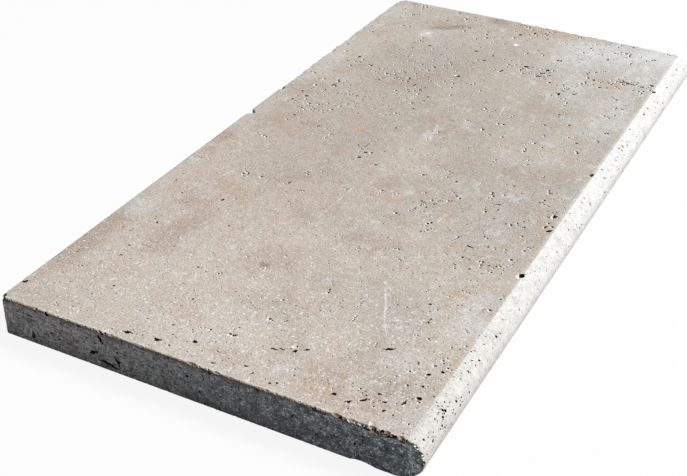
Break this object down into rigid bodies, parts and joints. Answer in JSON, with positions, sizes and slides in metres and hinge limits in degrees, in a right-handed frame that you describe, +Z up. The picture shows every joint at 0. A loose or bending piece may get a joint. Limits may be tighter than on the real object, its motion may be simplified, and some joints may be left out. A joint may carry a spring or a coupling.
{
  "type": "travertine pool coping",
  "caption": "Flat travertine slab with a bullnose along one long edge, laid as the rim of a pool, with worn arrises, chipped edges and open natural voids.",
  "frame": {"origin": "middle of the underside, at the bottom centre of the bounding box", "axes": "+Y along the slab, +X towards the bullnose over the water, +Z up through the thickness"},
  "size_m": [0.305, 0.61, 0.03],
  "materials": {
    "travertine": "tumbled and unfilled, matt beige with cloudy brown and grey patches, open voids and a paler ground bullnose"
  },
  "bodies": {
    "root": {"coping_slab": "travertine"}
  },
  "joints": []
}
